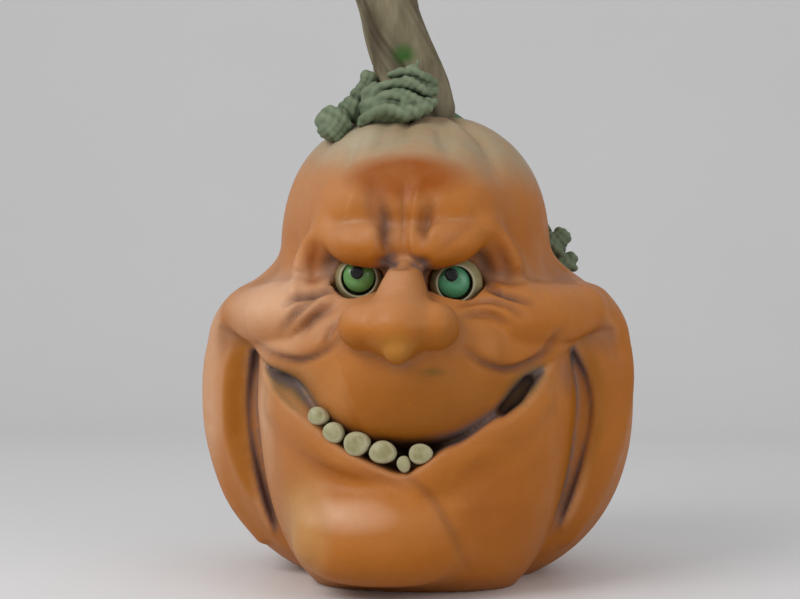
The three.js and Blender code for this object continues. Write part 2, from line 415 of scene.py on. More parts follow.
# The slots between jaw and lobes: (x, z) points seen from the front, and half widths.
GROOVES = {
    "left": (
        [(-105, 152), (-108, 122), (-106, 95), (-99, 63), (-85, 20), (-76, -4)],
        [2.4, 2.8, 3.0, 3.0, 3.0],
    ),
    "right": (
        [(102, 156), (110, 136), (112, 112), (104, 70), (91, 34), (78, -4)],
        [2.4, 3.6, 4.2, 3.2, 2.6, 2.4],
    ),
}
GROOVE_BACK = -42

# The lower lip's edge: (x, z) points seen from the front.
LIP = [
    (-108, 168), (-96, 148), (-80, 129), (-55, 112), (-40, 99), (-20, 88), (1, 81), (14, 87),
    (27, 96), (38, 101), (55, 113), (71, 123), (83, 135), (92, 149), (105, 168),
]
LIP_ROLL_RADII = [7, 9.5, 9.5, 9.5, 9, 7]
LIP_ROLL_INSET = 8  # how far the rolled edge's middle lies behind the jaw's face
LIP_ROLL_DROP = 9
SLOPE_PLACES = [-90, -70, -55, -40, 58, 68, 85]  # x where the mouth's floor has these slopes
SLOPES = [0.5, 0.75, 0.6, 0.15, 0.1, 0.6, 0.6]
SLOPE_REACH = 40  # how far back the floor rises
JAW_MIDDLE = row(1, -36, 100)
JAW_RADII = row(0.7 * HALF_WIDTH, 94, 124)
JAW_POWER = 2.6
JAW_PLAN = 2.35  # how square the jaw is from above
JAW_STRETCH = 0.7  # the jaw is taller above its middle by one over this
JAW_TAPER = 0.12  # how much narrower it is at the floor
JAW_TUCK = 0.14  # how much less deep it is at the floor
FOOT_TUCK = 0.2  # and how much less again in its lowest part
CHIN = ((-14, -102, 41), (57, 36, 33), 2.5)

MUZZLE_MIDDLE = (3, -80, 147)
MUZZLE_RADII = (69, 59, 49)  # the height is above the middle
MUZZLE_DROP = 53.5  # height below the middle
MUZZLE_POWER = 2.8
MUZZLE_PLAN = 2.2
MUZZLE_CORNER = ([(50, -106, 154), (80, -88, 154), (101, -62, 161)], [18, 12, 5])
THROAT = ((-5, -36, 112), (88, 54, 45))
CORNER_HOLE = ([(62, 119), (70, 127), (77, 136)], [3.0, 4.4, 2.8], -84)
MOUTH_BACK = -25

BROW_BULGE = ((26, -66, 244), (34, 38, 26))
BROWS = {
    "left": [(-6, -99, 221), (-20, -105, 221), (-34, -103, 222), (-46, -94, 226)],
    "right": [(6, -99, 220), (20, -105, 220), (34, -103, 223), (46, -93, 230)],
}
BROW_RADII = [12, 13.5, 12, 8.5]
TEMPLE_FOLD = ([(50, -84, 234), (57, -83, 222), (63, -80, 209), (65, -76, 198)], [9, 9.5, 9, 5])
NOSE_BRIDGE = ([(1, -102, 207), (1, -115, 198), (1, -131, 184), (1, -138, 172)], [9.5, 13, 18, 20])
NOSE_WING = ((22.5, -139, 172), (14.5, 16, 14.5))
NOSE_BALL = ((0, -146, 171), (20, 17, 13))
NOSE_TIP = ([(0, -142, 171), (0, -149, 164), (1, -154, 157)], [20, 16, 8])
SOCKET_ROOM = 0.8  # gap round the glass ball
SOCKET_MOUTH = 6  # how much further forward the socket opens
EYE_CORNER = ([(12, -6, -6), (22, -4, -10)], [5, 2.5])  # from the middle of the ball

BACK_RIBS = 10
CROWN_RIBS = 8
BACK_RIB_DEPTH = 5
CROWN_RIB_DEPTH = 3.5
STEM_SEAT = ((0, 5, 326), (34, 32, 14))


def egg_on(p, side, centre, *shape):
    """An egg on one side of the face."""
    return egg(p, (side * centre[0], *centre[1:]), *shape)


def limb_on(p, side, points, radii):
    """A limb on one side of the face."""
    return limb(p, sided(points, side), radii)


def ramp(values, start, end):
    """0 up to start, rising to 1 at end."""
    return np.clip((values - start) / (end - start), 0, 1)


def lip_height(x):
    line = spline(LIP)
    return np.interp(x, line[:, 0], line[:, 1])


def jaw_front(x):
    """How far forward the jaw's face stands at x."""
    t = np.minimum(np.abs(x - JAW_MIDDLE[0]) / JAW_RADII[0], 0.99)
    return JAW_MIDDLE[1] - JAW_RADII[1] * (1 - t**JAW_PLAN) ** (1 / JAW_PLAN)


def squashed(p, level, above, below):
    """The points with their heights scaled about a level, so that an egg there is uneven in height."""
    z = p[:, 2] - level
    return np.stack([p[:, 0], p[:, 1], level + z * np.where(z > 0, above, below)], 1)


def hood(p):
    """Dome, forehead and the cheeks that hang over the mouth."""
    d = smooth_union(egg(p, *DOME), egg(p, *FOREHEAD), 18)
    edge = SKIRT_EDGE + SKIRT_LIFT * (np.abs(p[:, 0]) / SKIRT_REACH) ** 3
    d = smooth_union(d, smooth_cut(egg(p, *SKIRT), p[:, 2] - edge, 6), 26)
    for name in SIDES:
        d = smooth_union(d, limb(p, CHEEKS[name], CHEEK_RADII), 24)
    return d


def lobes(p):
    """The pumpkin's body, which shows as a lobe on each side of the jaw, hollowed along its front."""
    even = squashed(p, LOBE_MIDDLE[2], LOBE_RADII[2] / LOBE_RISE, 1)
    d = egg(even, LOBE_MIDDLE, LOBE_RADII, LOBE_POWER)
    for name, side in SIDES.items():
        d = smooth_union(d, limb(p, RIMS[name], RIM_RADII), 10)
        d = smooth_cut(d, limb_on(p, side, *SIDE_HOLLOW), 6)
    return d


def jaw(p):
    """The jaw with its chin and lower lip, cut off along the lip. Behind it the cut is the mouth's floor."""
    x, y, z = p.T
    taper = 1 - JAW_TAPER * ramp(-z, -118, 0)
    tuck = 1 - JAW_TUCK * ramp(-z, -60, 0) - FOOT_TUCK * ramp(-z, -16, 0) ** 2
    untucked = np.stack([x / taper, JAW_MIDDLE[1] + (y - JAW_MIDDLE[1]) / tuck, z], 1)
    d = egg(squashed(untucked, JAW_MIDDLE[2], JAW_STRETCH, 1), JAW_MIDDLE, JAW_RADII, JAW_POWER, JAW_PLAN)
    d = smooth_union(d, egg(p, *CHIN), 12)
    roll = [(px, jaw_front(px) + LIP_ROLL_INSET, pz - LIP_ROLL_DROP) for px, pz in LIP[2:-2]]
    d = smooth_union(d, limb(p, roll, LIP_ROLL_RADII), 12)
    rise = np.interp(x, SLOPE_PLACES, SLOPES) * np.clip(y - jaw_front(x), 0, SLOPE_REACH)
    steepness = np.hypot(1, (lip_height(x + 2) - lip_height(x - 2)) / 4)
    return smooth_cut(d, (lip_height(x) + rise - z) / steepness, CREASE)


def muzzle(p):
    """The upper lip, and the shallow throat behind it."""
    even = squashed(p, MUZZLE_MIDDLE[2], 1, MUZZLE_RADII[2] / MUZZLE_DROP)
    d = egg(even, MUZZLE_MIDDLE, MUZZLE_RADII, MUZZLE_POWER, MUZZLE_PLAN)
    for side in SIDES.values():
        d = smooth_union(d, limb_on(p, side, *MUZZLE_CORNER), 14)
    return np.minimum(d, egg(p, *THROAT))


def with_sockets(p, d):
    for side, middle in EYES.items():
        reach = EYE_RADIUS[side] + SOCKET_ROOM
        deep = EYE_RADIUS[side] + SOCKET_MOUTH
        d = smooth_cut(d, egg(p, middle - row(0, SOCKET_MOUTH, 0), (reach, deep, reach)), 2)
        points, radii = EYE_CORNER
        d = smooth_cut(d, limb(p, middle + np.array(sided(points, SIDES[side])), radii), CREASE)
    return d


def with_brows(p, d):
    for name, side in SIDES.items():
        d = smooth_union(d, egg_on(p, side, *BROW_BULGE), 14)
        d = smooth_union(d, limb(p, BROWS[name], BROW_RADII), 8)
        d = smooth_union(d, limb_on(p, side, *TEMPLE_FOLD), 9)
    return d


def with_nose(p, d):
    d = smooth_union(d, limb(p, *NOSE_BRIDGE), 4)
    for side in SIDES.values():
        d = smooth_union(d, egg_on(p, side, *NOSE_WING), 6)
    d = smooth_union(d, egg(p, *NOSE_BALL), 8)
    return smooth_union(d, limb(p, *NOSE_TIP), 6)


def rib_cuts(p):
    """How deep the pumpkin's ribs cut at each point of the back and crown."""
    x, y, z = p.T
    behind = ramp(y, -20, 40)
    crown = ramp(z, 262, 302) * (1 - behind)
    back_rib = np.abs(np.sin(BACK_RIBS / 2 * np.arctan2(x, y - 10)))
    crown_rib = np.abs(np.sin(CROWN_RIBS / 2 * np.arctan2(x, 10 - y) + 0.4))
    back_cut = BACK_RIB_DEPTH * behind * np.exp(-((back_rib / 0.28) ** 2))
    return back_cut + CROWN_RIB_DEPTH * crown * np.exp(-((crown_rib / 0.35) ** 2))


def outwardness(p):
    """0 on the face, 1 on the shoulders and behind, where the hood flows softly into the body."""
    shoulder = np.abs(p[:, 0]) + 0.8 * np.maximum(p[:, 2] - 168, 0)
    return np.maximum(ramp(p[:, 1], -50, -12), ramp(shoulder, 114, 134))


def head_field(p):
    d = smooth_union(hood(p), lobes(p), CREASE + SOFT_JOIN * outwardness(p))
    for points, half_widths in GROOVES.values():
        d = smooth_cut(d, channel(p, points, half_widths, GROOVE_BACK), 6)
    d = smooth_union(d, jaw(p), CREASE)
    d = smooth_union(d, muzzle(p), CREASE)
    d = smooth_cut(d, channel(p, *CORNER_HOLE), 4)
    d = with_nose(p, with_brows(p, with_sockets(p, d)))
    d = smooth_cut(d + rib_cuts(p), egg(p, *STEM_SEAT), 10)
    return np.maximum(d, -p[:, 2])


# Folds and creases of the face: points (x, z) seen from the front, half width, height out of the skin.
FOLDS = [
    # frown between the brows
    ([(-16, 254), (-12, 240), (-10, 226), (-7, 213)], 4.5, -4.5),
    ([(-2, 262), (-1, 240), (0, 216)], 2.0, -1.6),
    ([(10, 262), (7, 244), (6, 228), (8, 214)], 3.0, 4.0),
    ([(17, 250), (14, 236), (13, 224)], 3.5, -3.5),
    ([(15, 226), (24, 233), (38, 241)], 4.5, 3.5),
    ([(-15, 212), (0, 209), (15, 212)], 2.4, -3.5),
    ([(-14, 228), (-26, 236), (-40, 238)], 4.5, 2.5),
    ([(-30, 262), (-35, 246), (-38, 232)], 4.5, 2.5),
    ([(-20, 262), (-21, 248), (-16, 236)], 4.5, -2.0),
    ([(22, 216), (32, 226), (44, 236)], 3.0, -1.5),
    # crown
    ([(-17, 310), (-19, 298), (-22, 284)], 5.0, -4.5),
    ([(16, 310), (20, 298), (27, 282)], 5.0, -4.5),
    ([(-36, 300), (-39, 286), (-43, 270)], 5.0, -3.5),
    ([(42, 298), (50, 282), (58, 262)], 6.0, -3.0),
    # temples and the corners of the eyes
    ([(-41, 196), (-54, 193), (-66, 190), (-76, 185)], 2.4, -5.0),
    ([(45, 200), (56, 195), (67, 191), (80, 186)], 2.4, -5.0),
    ([(-78, 236), (-82, 216), (-80, 196)], 5.0, -3.5),
    ([(-54, 238), (-66, 220), (-71, 200), (-70, 190)], 3.6, 4.0),
    ([(-56, 226), (-60, 210), (-59, 198)], 5.0, -3.5),
    ([(84, 238), (88, 216), (94, 198)], 5.0, -3.0),
    ([(54, 238), (66, 222), (74, 204), (79, 193)], 3.6, 3.4),
    ([(58, 222), (64, 208), (66, 197)], 4.5, -3.0),
    ([(94, 232), (98, 214), (106, 200)], 4.0, -2.0),
    # under the eyes
    ([(-54, 192), (-67, 180), (-78, 168)], 3.2, -4.0),
    ([(-43, 184), (-54, 178), (-64, 168)], 3.2, -3.6),
    ([(-48, 189), (-61, 179), (-71, 167)], 3.0, 3.0),
    ([(-36, 176), (-43, 170), (-47, 160)], 2.6, -2.4),
    ([(36, 184), (47, 187), (62, 186), (76, 178)], 2.4, -3.2),
    ([(38, 178), (52, 179), (68, 172)], 2.6, -3.0),
    ([(37, 181), (52, 184), (64, 179)], 3.2, 1.8),
    # where the cheeks lie over the muzzle
    ([(-98, 158), (-82, 152), (-66, 150), (-50, 155), (-38, 164)], 2.8, -4.4),
    ([(98, 168), (86, 153), (70, 145), (54, 148), (40, 158)], 2.8, -4.4),
    # chin and jaw
    ([(1, 82), (12, 74), (24, 61), (34, 42), (41, 20)], 2.8, -1.8),
    ([(-60, 84), (-36, 75), (-8, 74), (12, 66)], 8.0, -6.5),
    ([(40, 84), (56, 70), (62, 46)], 13.0, -4.0),
    ([(-60, 66), (-50, 42), (-58, 16)], 7.0, -3.5),
    ([(-80, 120), (-76, 90), (-72, 56)], 6.0, 2.4),
    ([(-38, 150), (-27, 122), (-17, 100)], 3.0, 1.6),
    ([(-96, 142), (-82, 127), (-60, 108)], 3.0, 1.5),
    ([(56, 108), (72, 117), (84, 130)], 3.5, 1.8),
]
WIDEST_CREASE = 4.8  # a wider fold is a hollow, and holds no painted crease shade


def stroke(p, points, width, height):
    """How far one modelling stroke, seen from the front, lifts each point of the skin."""
    line = spline(points)
    low = row(line[:, 0].min() - 3 * width, -FAR, line[:, 1].min() - 3 * width)
    high = row(line[:, 0].max() + 3 * width, -10, line[:, 1].max() + 3 * width)

    def measure(q):
        d, place = along_line(q[:, [0, 2]], line)
        return height * np.sin(np.pi * (0.06 + 0.88 * place)) ** 0.7 * np.exp(-((d / width) ** 2))

    return only_near(p, low, high, 0, measure)


def soft_patch(p, centre, radii, softness):
    """1 in the middle of an ellipsoid and 0 outside it, falling off over the outer share of its radii."""
    reach = np.sqrt((((p - row(*centre)) / row(*radii)) ** 2).sum(1))
    return np.clip((1 - reach) / softness, 0, 1)


def hollowness(p, normals, field, reaches):
    """How far the skin is shut in by the skin around it: 0 in the open, 1 deep in a crack."""
    shut = [np.clip(1 - field(p + reach * normals) / reach, 0, 1) for reach in reaches]
    return np.mean(shut, 0)


def sharpness(p, normals, field, reach):
    """How much the skin bulges: 0 where it is flat, 1 on a sharp ridge."""
    return np.clip(1 + field(p - reach * normals) / reach, 0, 1)


# Patches of paint: centre, radii, softness. Some of them place painted highlights and painted shade. The last
# two lie on both sides of the face.
PATCHES = {
    "forehead": ((0, -95, 266), (45, 70, 18), 0.45),
    "crown_left": ((-38, -50, 294), (36, 60, 26), 0.9),
    "rosy": ((16, -60, 312), (18, 30, 9), 0.8),
    # painted highlight on the upward faces of the left cheek
    "painted_highlights": ((-80, -85, 184), (62, 60, 42), 0.7),
    # painted highlight on the nose bridge
    "nose_bridge": ((-4, -126, 196), (14, 30, 18), 0.8),
    "nose_tip": ((0, -158, 160), (14, 18, 12), 0.9),
    "lip_shade": ((12, -135, 128), (58, 50, 34), 0.8),
    "pale_lip": ((-48, -120, 132), (26, 50, 30), 0.5),
    # painted shade under the right of the nose
    "shade_under_nose": ((21, -138, 144), (11, 40, 3.5), 1.0),
    "left_corner": ((-80, -100, 130), (32, 60, 28), 0.5),
    "right_corner": ((80, -88, 130), (28, 50, 24), 0.5),
    # painted highlight on the left of the jaw
    "jaw_left": ((-98, -90, 112), (18, 60, 56), 0.9),
    # painted reddish shade under the lower lip and in the hollow of the right jaw
    "under_lip": ((-20, -110, 82), (40, 50, 12), 1.0),
    "jaw_right": ((57, -110, 62), (28, 50, 30), 1.0),
    # painted highlight along the top of the chin
    "chin_top": ((-32, -124, 55), (36, 44, 13), 0.8),
    "tan_chin": ((-60, -100, 44), (26, 60, 42), 1.0),
}
TEMPLES = ((59, -90, 210), (8, 30, 20), 0.6)
# painted shade at the tops of the grooves, under the cheeks
GROOVE_TOP_SHADE = ((106, -72, 142), (15, 40, 20), 0.9)


def on_both_sides(p, centre, radii, softness):
    return sum(soft_patch(p, (side * centre[0], *centre[1:]), radii, softness) for side in SIDES.values())


def in_mouth(p):
    """1 inside the mouth: above the lower lip's edge and behind it."""
    x, y, z = p.T
    behind = ramp(y - jaw_front(x), 5, 13)
    over_lip = z - lip_height(x)
    above = ramp(over_lip, -3, 1) * ramp(-over_lip, -34, -22)
    return behind * above * (np.abs(x) < 100) * (y < MOUTH_BACK)


def head_masks(p, normals):
    """Where each coat of paint lies on the head, from 0 to 1."""
    x, y, z = p.T
    sideways, backwards, upwards = normals.T
    patch = {name: soft_patch(p, *shape) for name, shape in PATCHES.items()}
    hollow = hollowness(p, normals, head_field, (3, 7, 14))
    side_hollows = sum(np.clip(1.4 - limb_on(p, side, *SIDE_HOLLOW) / 4, 0, 1) for side in SIDES.values())
    facets = side_hollows * (lobes(p) < 2)
    corners = patch["left_corner"] + patch["right_corner"]
    cheek = patch["painted_highlights"] * np.clip(upwards + 0.75, 0, 1)
    rim = ramp(-x, 128, 138) * ramp(z, 60, 100) * ramp(-y, -10, 40)
    nose_side = np.clip(1.3 * sideways, 0, 1) * ramp(-y, 112, 122) * (z > 100)
    return {
        "sunlit": np.clip(1.3 * upwards + 0.15, 0, 1) * np.clip((70 - x) / 80, 0.4, 1),
        # painted light on faces that look to the left
        "lit_from_left": np.clip(-0.9 * sideways + 0.15, 0, 1) * ramp(-x, 30, 75),
        # painted shade on faces that look down
        "underside_shade": np.clip(-1.5 * upwards, 0, 1),
        "crown": ramp(z + 0.08 * x, 262, 290),
        "forehead": patch["forehead"] * np.clip(-2 * backwards, 0, 1),
        "facets": facets * ramp(-z, -176, -164),
        # painted highlights on the left cheek, the top of the chin and the nose bridge
        "painted_highlights": cheek + 0.8 * patch["chin_top"] + 0.6 * patch["nose_bridge"],
        "crown_left": patch["crown_left"],
        # painted highlight on the left rim of the body and the left of the jaw
        "left_side_highlight": rim * (1 - 0.8 * facets) + patch["jaw_left"],
        "shaded": nose_side + patch["lip_shade"],
        "nose_tip": patch["nose_tip"],
        # painted shade under the nose
        "shade_under_nose": patch["shade_under_nose"],
        "pale_lip": patch["pale_lip"] * (x < -17 - 0.42 * (z - 100)),
        "temples": on_both_sides(p, *TEMPLES),
        "olive": np.clip(corners, 0, 1) * np.clip(1.6 * hollow, 0, 1),
        "tan_chin": patch["tan_chin"],
        "rosy": patch["rosy"],
        # painted reddish shade under the lower lip and in the hollow of the right jaw
        "russet_shade": patch["jaw_right"] + patch["under_lip"],
        # painted shade in hollows
        "hollow": 2.2 * hollow - 0.35,
        # painted shade in the deepest cracks and at the tops of the grooves
        "deep": np.clip(3.4 * hollow - 1.7, 0, 1) + 0.6 * on_both_sides(p, *GROOVE_TOP_SHADE),
        # painted shade inside the mouth
        "mouth": in_mouth(p) * np.clip(1 - 1.6 * corners, 0, 1),
        "ridge": 2.5 * sharpness(p, normals, head_field, 5) - 0.6,
    }


def make_head():
    low = row(HEAD_LOW[0] - 12, HEAD_LOW[1] - 12, -6)
    high = row(HEAD_HIGH[0] + 12, HEAD_HIGH[1] + 12, HEAD_HIGH[2] + 10)
    verts, quads = mesh_field(head_field, low, high, HEAD_STEP)
    normals = field_normals(verts, head_field, 1.0)
    facing = np.clip(-2 * normals[:, 1], 0, 1)
    folds = [facing * stroke(verts, *fold) for fold in FOLDS]
    obj = new_object("painted_head", verts + sum(folds)[:, None] * normals, quads)
    masks = head_masks(verts, normals)
    creases = [fold for fold, (_, width, _) in zip(folds, FOLDS) if width < WIDEST_CREASE]
    depth = -np.minimum.reduce(creases)
    # painted shade in the creases of the narrow folds, darkest in the deepest
    masks["fold"] = 0.4 * depth
    masks["deep_crease_shade"] = 0.5 * depth - 1.4
    for name, values in masks.items():
        add_mask(obj, name, np.clip(values, 0, 1))
    return obj


# -------- eyes and teeth

IRIS_RADIUS = node_half("iris_left")[0]
PUPIL_RADIUS = node_half("pupil_left")[0]
IRIS_SHIFT = {"left": (0.2, 1.2), "right": (-1.0, 0.9)}  # off the middle of its pocket, across and up


def eye_axis(side):
    return node_middle(f"iris_{side}") - EYES[side]


def make_eyeball(side):
    """A ball with a thick rim round a pocket painted near black as shadow, in which the iris sits."""
    radius = EYE_RADIUS[side]
    pocket = IRIS_RADIUS + 0.7
    edge = math.sqrt(radius**2 - (pocket + 1.8) ** 2)
    around = np.linspace(-np.pi / 2, math.atan2(edge, pocket + 1.8), 22)[1:]
    ball = [(radius * math.cos(a), radius * math.sin(a)) for a in around]
    rim = [
        (pocket + 1.3, edge + 1.0), (pocket + 0.5, edge + 1.2),
        (pocket, edge + 0.5), (pocket - 0.1, edge - 1),
    ]
    well = [(pocket - 0.2, edge - 4.5), (pocket - 1, edge - 5), (pocket / 2, edge - 5.2)]
    profile = ball + rim + well
    verts, faces = tube(turned(profile, 64))
    obj = new_object(f"glass_eye_{side}", aimed(verts, EYES[side], eye_axis(side)), faces)
    reach = np.hypot(verts[:, 0], verts[:, 1])
    # the pocket is painted near black as the shadow round the iris
    add_mask(obj, "pocket", np.clip((pocket + 0.1 - reach) / 0.3, 0, 1) * (verts[:, 2] > 0))
    add_mask(obj, "rim", np.clip(1 - np.abs(reach - pocket - 1) / 1.4, 0, 1) * (verts[:, 2] > 0))
    return obj


def make_iris(side):
    """A domed disc, set above the middle of its pocket so that a crescent of the pocket's painted shadow
    shows under it.
    """
    r = IRIS_RADIUS - 0.2
    edge = [(0.5 * r, -3.2), (r, -3), (r, -1.2), (r - 0.4, -0.4), (r - 1.2, 0.4)]
    dome = [(0.75 * r, 1.5), (0.5 * r, 2.4), (0.25 * r, 2.9)]
    verts, faces = tube(turned(edge + dome, 56))
    across, up = IRIS_SHIFT[side]
    axis = eye_axis(side)
    origin = EYES[side] + axis * (1 - 2.3 / np.linalg.norm(axis)) + row(across, 0, up)
    obj = new_object(f"glass_iris_{side}", aimed(verts, origin, axis), faces)
    add_mask(obj, "outer", np.hypot(verts[:, 0], verts[:, 1]) / r)
    return obj


def make_pupil(side):
    r = PUPIL_RADIUS
    profile = [(0.5 * r, -1.6), (r, -1.4), (r, 0.1), (0.95 * r, 0.5), (0.7 * r, 0.8), (0.35 * r, 0.95)]
    verts, faces = tube(turned(profile, 40))
    placed = aimed(verts, node_middle(f"pupil_{side}"), eye_axis(side))
    return new_object(f"glass_pupil_{side}", placed, faces)


# Radius and height of a tooth, as shares of its half width and half depth.
TOOTH_PROFILE = [
    (0.5, -1), (0.9, -0.7), (1, -0.2), (1, 0.35), (0.96, 0.62), (0.86, 0.8), (0.6, 0.92), (0.3, 0.98),
]


def make_tooth(node, number):
    """A flattened pebble with a bevelled edge, lumpy in its own way."""
    middle, half = node_middle(node), node_half(node)
    verts, faces = tube(turned(spline(TOOTH_PROFILE, 4), 44))
    turn = np.arctan2(verts[:, 1], verts[:, 0])
    lump = 1 + 0.035 * np.sin(2 * turn + 1.9 * number) + 0.03 * np.sin(3 * turn + 2.3 * number)
    reach = np.hypot(verts[:, 0], verts[:, 1])
    tilt = 0.1 * np.sin(turn + 1.3 * number) * reach
    shaped = np.stack([verts[:, 0] * lump, verts[:, 1] * lump, verts[:, 2] * (1 - tilt)], 1)
    scaled = shaped * row(half[0], half[2], half[1])
    obj = new_object(f"pebble_{node}", aimed(scaled, middle, (0.08 * middle[0] / 20, -1, 0.16)), faces)
    # painted highlight round the front edge
    add_mask(obj, "edge", np.clip(2.6 * reach - 1.7, 0, 1) * (verts[:, 2] > 0))
    return obj


# -------- stem, vine and leaves

STEM_LOW, STEM_HIGH = node_box("stem")
# x, y and the share of the stem's height.
STEM_PATH = [
    (0, 4, 0), (-2, 3, 0.16), (-6, 2, 0.31), (-12, 1, 0.45),
    (-18, 0, 0.58), (-23, -1, 0.72), (-28, -2, 0.83), (-34, -3, 0.92),
]
STEM_RADII = [21, 25.5, 25, 23, 22, 21.5, 21, 21, 22, 23.5]
STEM_TWIST = 2.6
STEM_SIDES = 150
# The cut end's hollow: its radius as a share of the stem's, and its height over the last ring.
STEM_CUT = [
    (0.99, 0.9), (0.95, 1.3), (0.9, 1.0), (0.84, -0.4), (0.7, -1.6), (0.5, -1.8), (0.3, -2.6), (0.12, -3.4),
]
STEM_STAIN = ((-9, -22, 355), (11, 16, 9), 0.7)


def stem_relief(turn, share):
    """Soft folds and fibres that wind round the stem."""
    wind = turn + STEM_TWIST * share + 0.35 * np.sin(5 * share + np.sin(turn))
    folds = 1.5 * np.cos(3 * wind + 0.6) - 1.6 * np.exp(-((np.sin(2.5 * wind + 0.4) / 0.3) ** 2))
    fibres = 0.7 * np.sin(11 * wind + 3 * share) + 0.45 * np.sin(23 * wind - 2 * share)
    fibres += 0.2 * np.sin(41 * wind)
    return folds + fibres * (0.6 + 0.4 * np.sin(4 * turn + 9 * share))


def make_stem():
    """The twisted stem, with a rough cut end."""
    base, top = STEM_LOW[2], STEM_HIGH[2]
    path = [(x, y, base + share * (top - base)) for x, y, share in STEM_PATH]
    rings = swept(path, STEM_RADII, STEM_SIDES, stem_relief)
    shares = np.linspace(0, 1, len(rings))
    end = rings[-1]
    middle = end.mean(0)
    last = row(*path[-1]) - row(*path[-2])
    ahead = last / np.linalg.norm(last)
    rings += [middle + scale * (end - middle) + rise * ahead for scale, rise in STEM_CUT]
    verts, faces = tube(rings)
    obj = new_object("twisted_stem", verts, faces)
    turn = 2 * np.pi * np.arange(STEM_SIDES) / STEM_SIDES
    folds = [stem_relief(turn, share) for share in shares] + [np.full(STEM_SIDES, -1.0)] * len(STEM_CUT)
    # painted shade in the grooves of the relief and in the cut end
    grooves = np.concatenate([[0], np.clip(0.25 - 0.3 * np.concatenate(folds), 0, 1), [0]])
    add_mask(obj, "groove_shade", grooves)
    add_mask(obj, "stain", soft_patch(verts, *STEM_STAIN))
    # painted shade at the foot of the stem
    add_mask(obj, "shade_at_foot", ramp(-verts[:, 2], -336, -314))
    return obj


VINE_PATH = [(16, 22, 319), (36, 44, 307), (58, 60, 285), (75, 62, 259), (88, 54, 236)]
VINE_RADII = [4.2, 3.8, 3.4, 3.2, 3.0]


def vine_relief(turn, share):
    return 0.35 * np.cos(5 * turn + 9 * share) + 0.3 * np.sin(37 * share) * np.cos(turn + 4 * share)


def make_vine():
    verts, faces = tube(swept(VINE_PATH, VINE_RADII, 40, vine_relief))
    return new_object("winding_vine", verts, faces)


# A leaf is a clump of eggs (centre, radii) under rolled ridges (points, radii).
LEAVES = {
    "leaf_front": {
        "shade": 0.0,
        "eggs": [
            ((-14, -34, 317), (24, 12, 11)), ((0, -30, 331), (15, 11, 11)),
            ((-26, -31, 324), (11, 9, 11)),
        ],
        "ridges": [
            ([(-36, -38, 307), (-20, -45, 315), (-4, -47, 312), (9, -43, 316)], [3.0, 4.6, 4.8, 3.4]),
            ([(-31, -37, 318), (-14, -44, 325), (2, -44, 320), (13, -38, 319)], [3.0, 4.0, 4.2, 3.0]),
            ([(-22, -37, 331), (-6, -43, 333), (6, -42, 328), (14, -36, 327)], [2.6, 3.6, 3.4, 2.4]),
            ([(-16, -36, 338), (-5, -40, 341), (7, -39, 337), (14, -34, 334)], [2.2, 2.8, 3.0, 2.0]),
            ([(-3, -38, 340), (1, -39, 344), (2.5, -38, 348)], [3.2, 2.0, 0.7]),
            ([(-12, -40, 328), (-4, -46, 322), (-8, -46, 314)], [2.0, 3.0, 2.0]),
        ],
    },
    "leaf_left": {
        "shade": 0.25,
        "eggs": [
            ((-55, -35, 307), (12, 13, 11.5)), ((-44, -25, 317), (9, 10, 9)),
            ((-39, -15, 327), (7, 8, 9)), ((-35, -9, 338), (6, 6.5, 8.5)),
        ],
        "ridges": [([(-60, -42, 312), (-54, -46, 302), (-50, -44, 297)], [3, 3.6, 3])],
    },
    "leaf_right": {
        "shade": 0.6,
        "eggs": [
            ((90, 44, 224), (10, 15, 12)), ((97, 42, 232), (7, 8, 7)),
            ((97, 42, 213), (10, 13, 8)), ((103, 42, 216), (6, 7, 5.5)),
        ],
        "ridges": [
            ([(84, 36, 232), (92, 32, 226), (100, 34, 219)], [3, 3.5, 2.5]),
            ([(86, 36, 218), (96, 32, 212), (106, 36, 210)], [2.5, 3.2, 2.5]),
        ],
    },
}


def crumple(p):
    """Creases of a hand-rolled leaf: how far each point stands out."""
    x, y, z = p.T
    broad = np.abs(np.sin(0.31 * z + 0.12 * x + 1.3 * np.sin(0.13 * x) + 0.1 * y))
    fine = np.abs(np.sin(0.55 * x - 0.35 * z + 1.1 * np.sin(0.2 * z) + 0.2 * y))
    return 1.5 * broad + 0.8 * fine - 1.2


def make_leaf(node):
    def field(p):
        d = np.minimum.reduce([egg(p, centre, radii) for centre, radii in LEAVES[node]["eggs"]])
        for points, radii in LEAVES[node]["ridges"]:
            d = smooth_union(d, limb(p, points, radii), 1.5)
        return d

    low, high = node_box(node)
    verts, quads = mesh_field(field, low - 8, high + 8, LEAF_STEP)
    normals = field_normals(verts, field)
    obj = new_object(f"rolled_{node}", verts + crumple(verts)[:, None] * normals, quads)
    # painted shade in the leaf's hollows and creases, deeper on the leaves set in shade
    creased = 1.6 * hollowness(verts, normals, field, (2, 5)) - 0.4 * crumple(verts) + 0.1
    add_mask(obj, "hollow", np.clip(creased + LEAVES[node]["shade"], 0, 1))
    add_mask(obj, "sunlit", np.clip(normals[:, 2], 0, 1))
    return obj


# -------- materials

def node(tree, kind, **inputs):
    """A shader node with its inputs set or wired, keyed by name with _ for a space."""
    made = tree.nodes.new(kind)
    for name, value in inputs.items():
        plug(tree, made.inputs[name.replace("_", " ")], value)
    return made


def plug(tree, socket, value):
    if isinstance(value, bpy.types.NodeSocket):
        tree.links.new(value, socket)
    else:
        socket.default_value = value


def noise(tree, scale, detail=4.0, stretch=(1, 1, 1)):
    """Noise fixed to the object; scale is in features to a metre."""
    place = tree.nodes.new("ShaderNodeTexCoord").outputs["Object"]
    stretched = node(tree, "ShaderNodeMapping", Vector=place, Scale=stretch).outputs[0]
    made = node(tree, "ShaderNodeTexNoise", Vector=stretched, Scale=scale, Detail=detail)
    return made.outputs["Fac"]


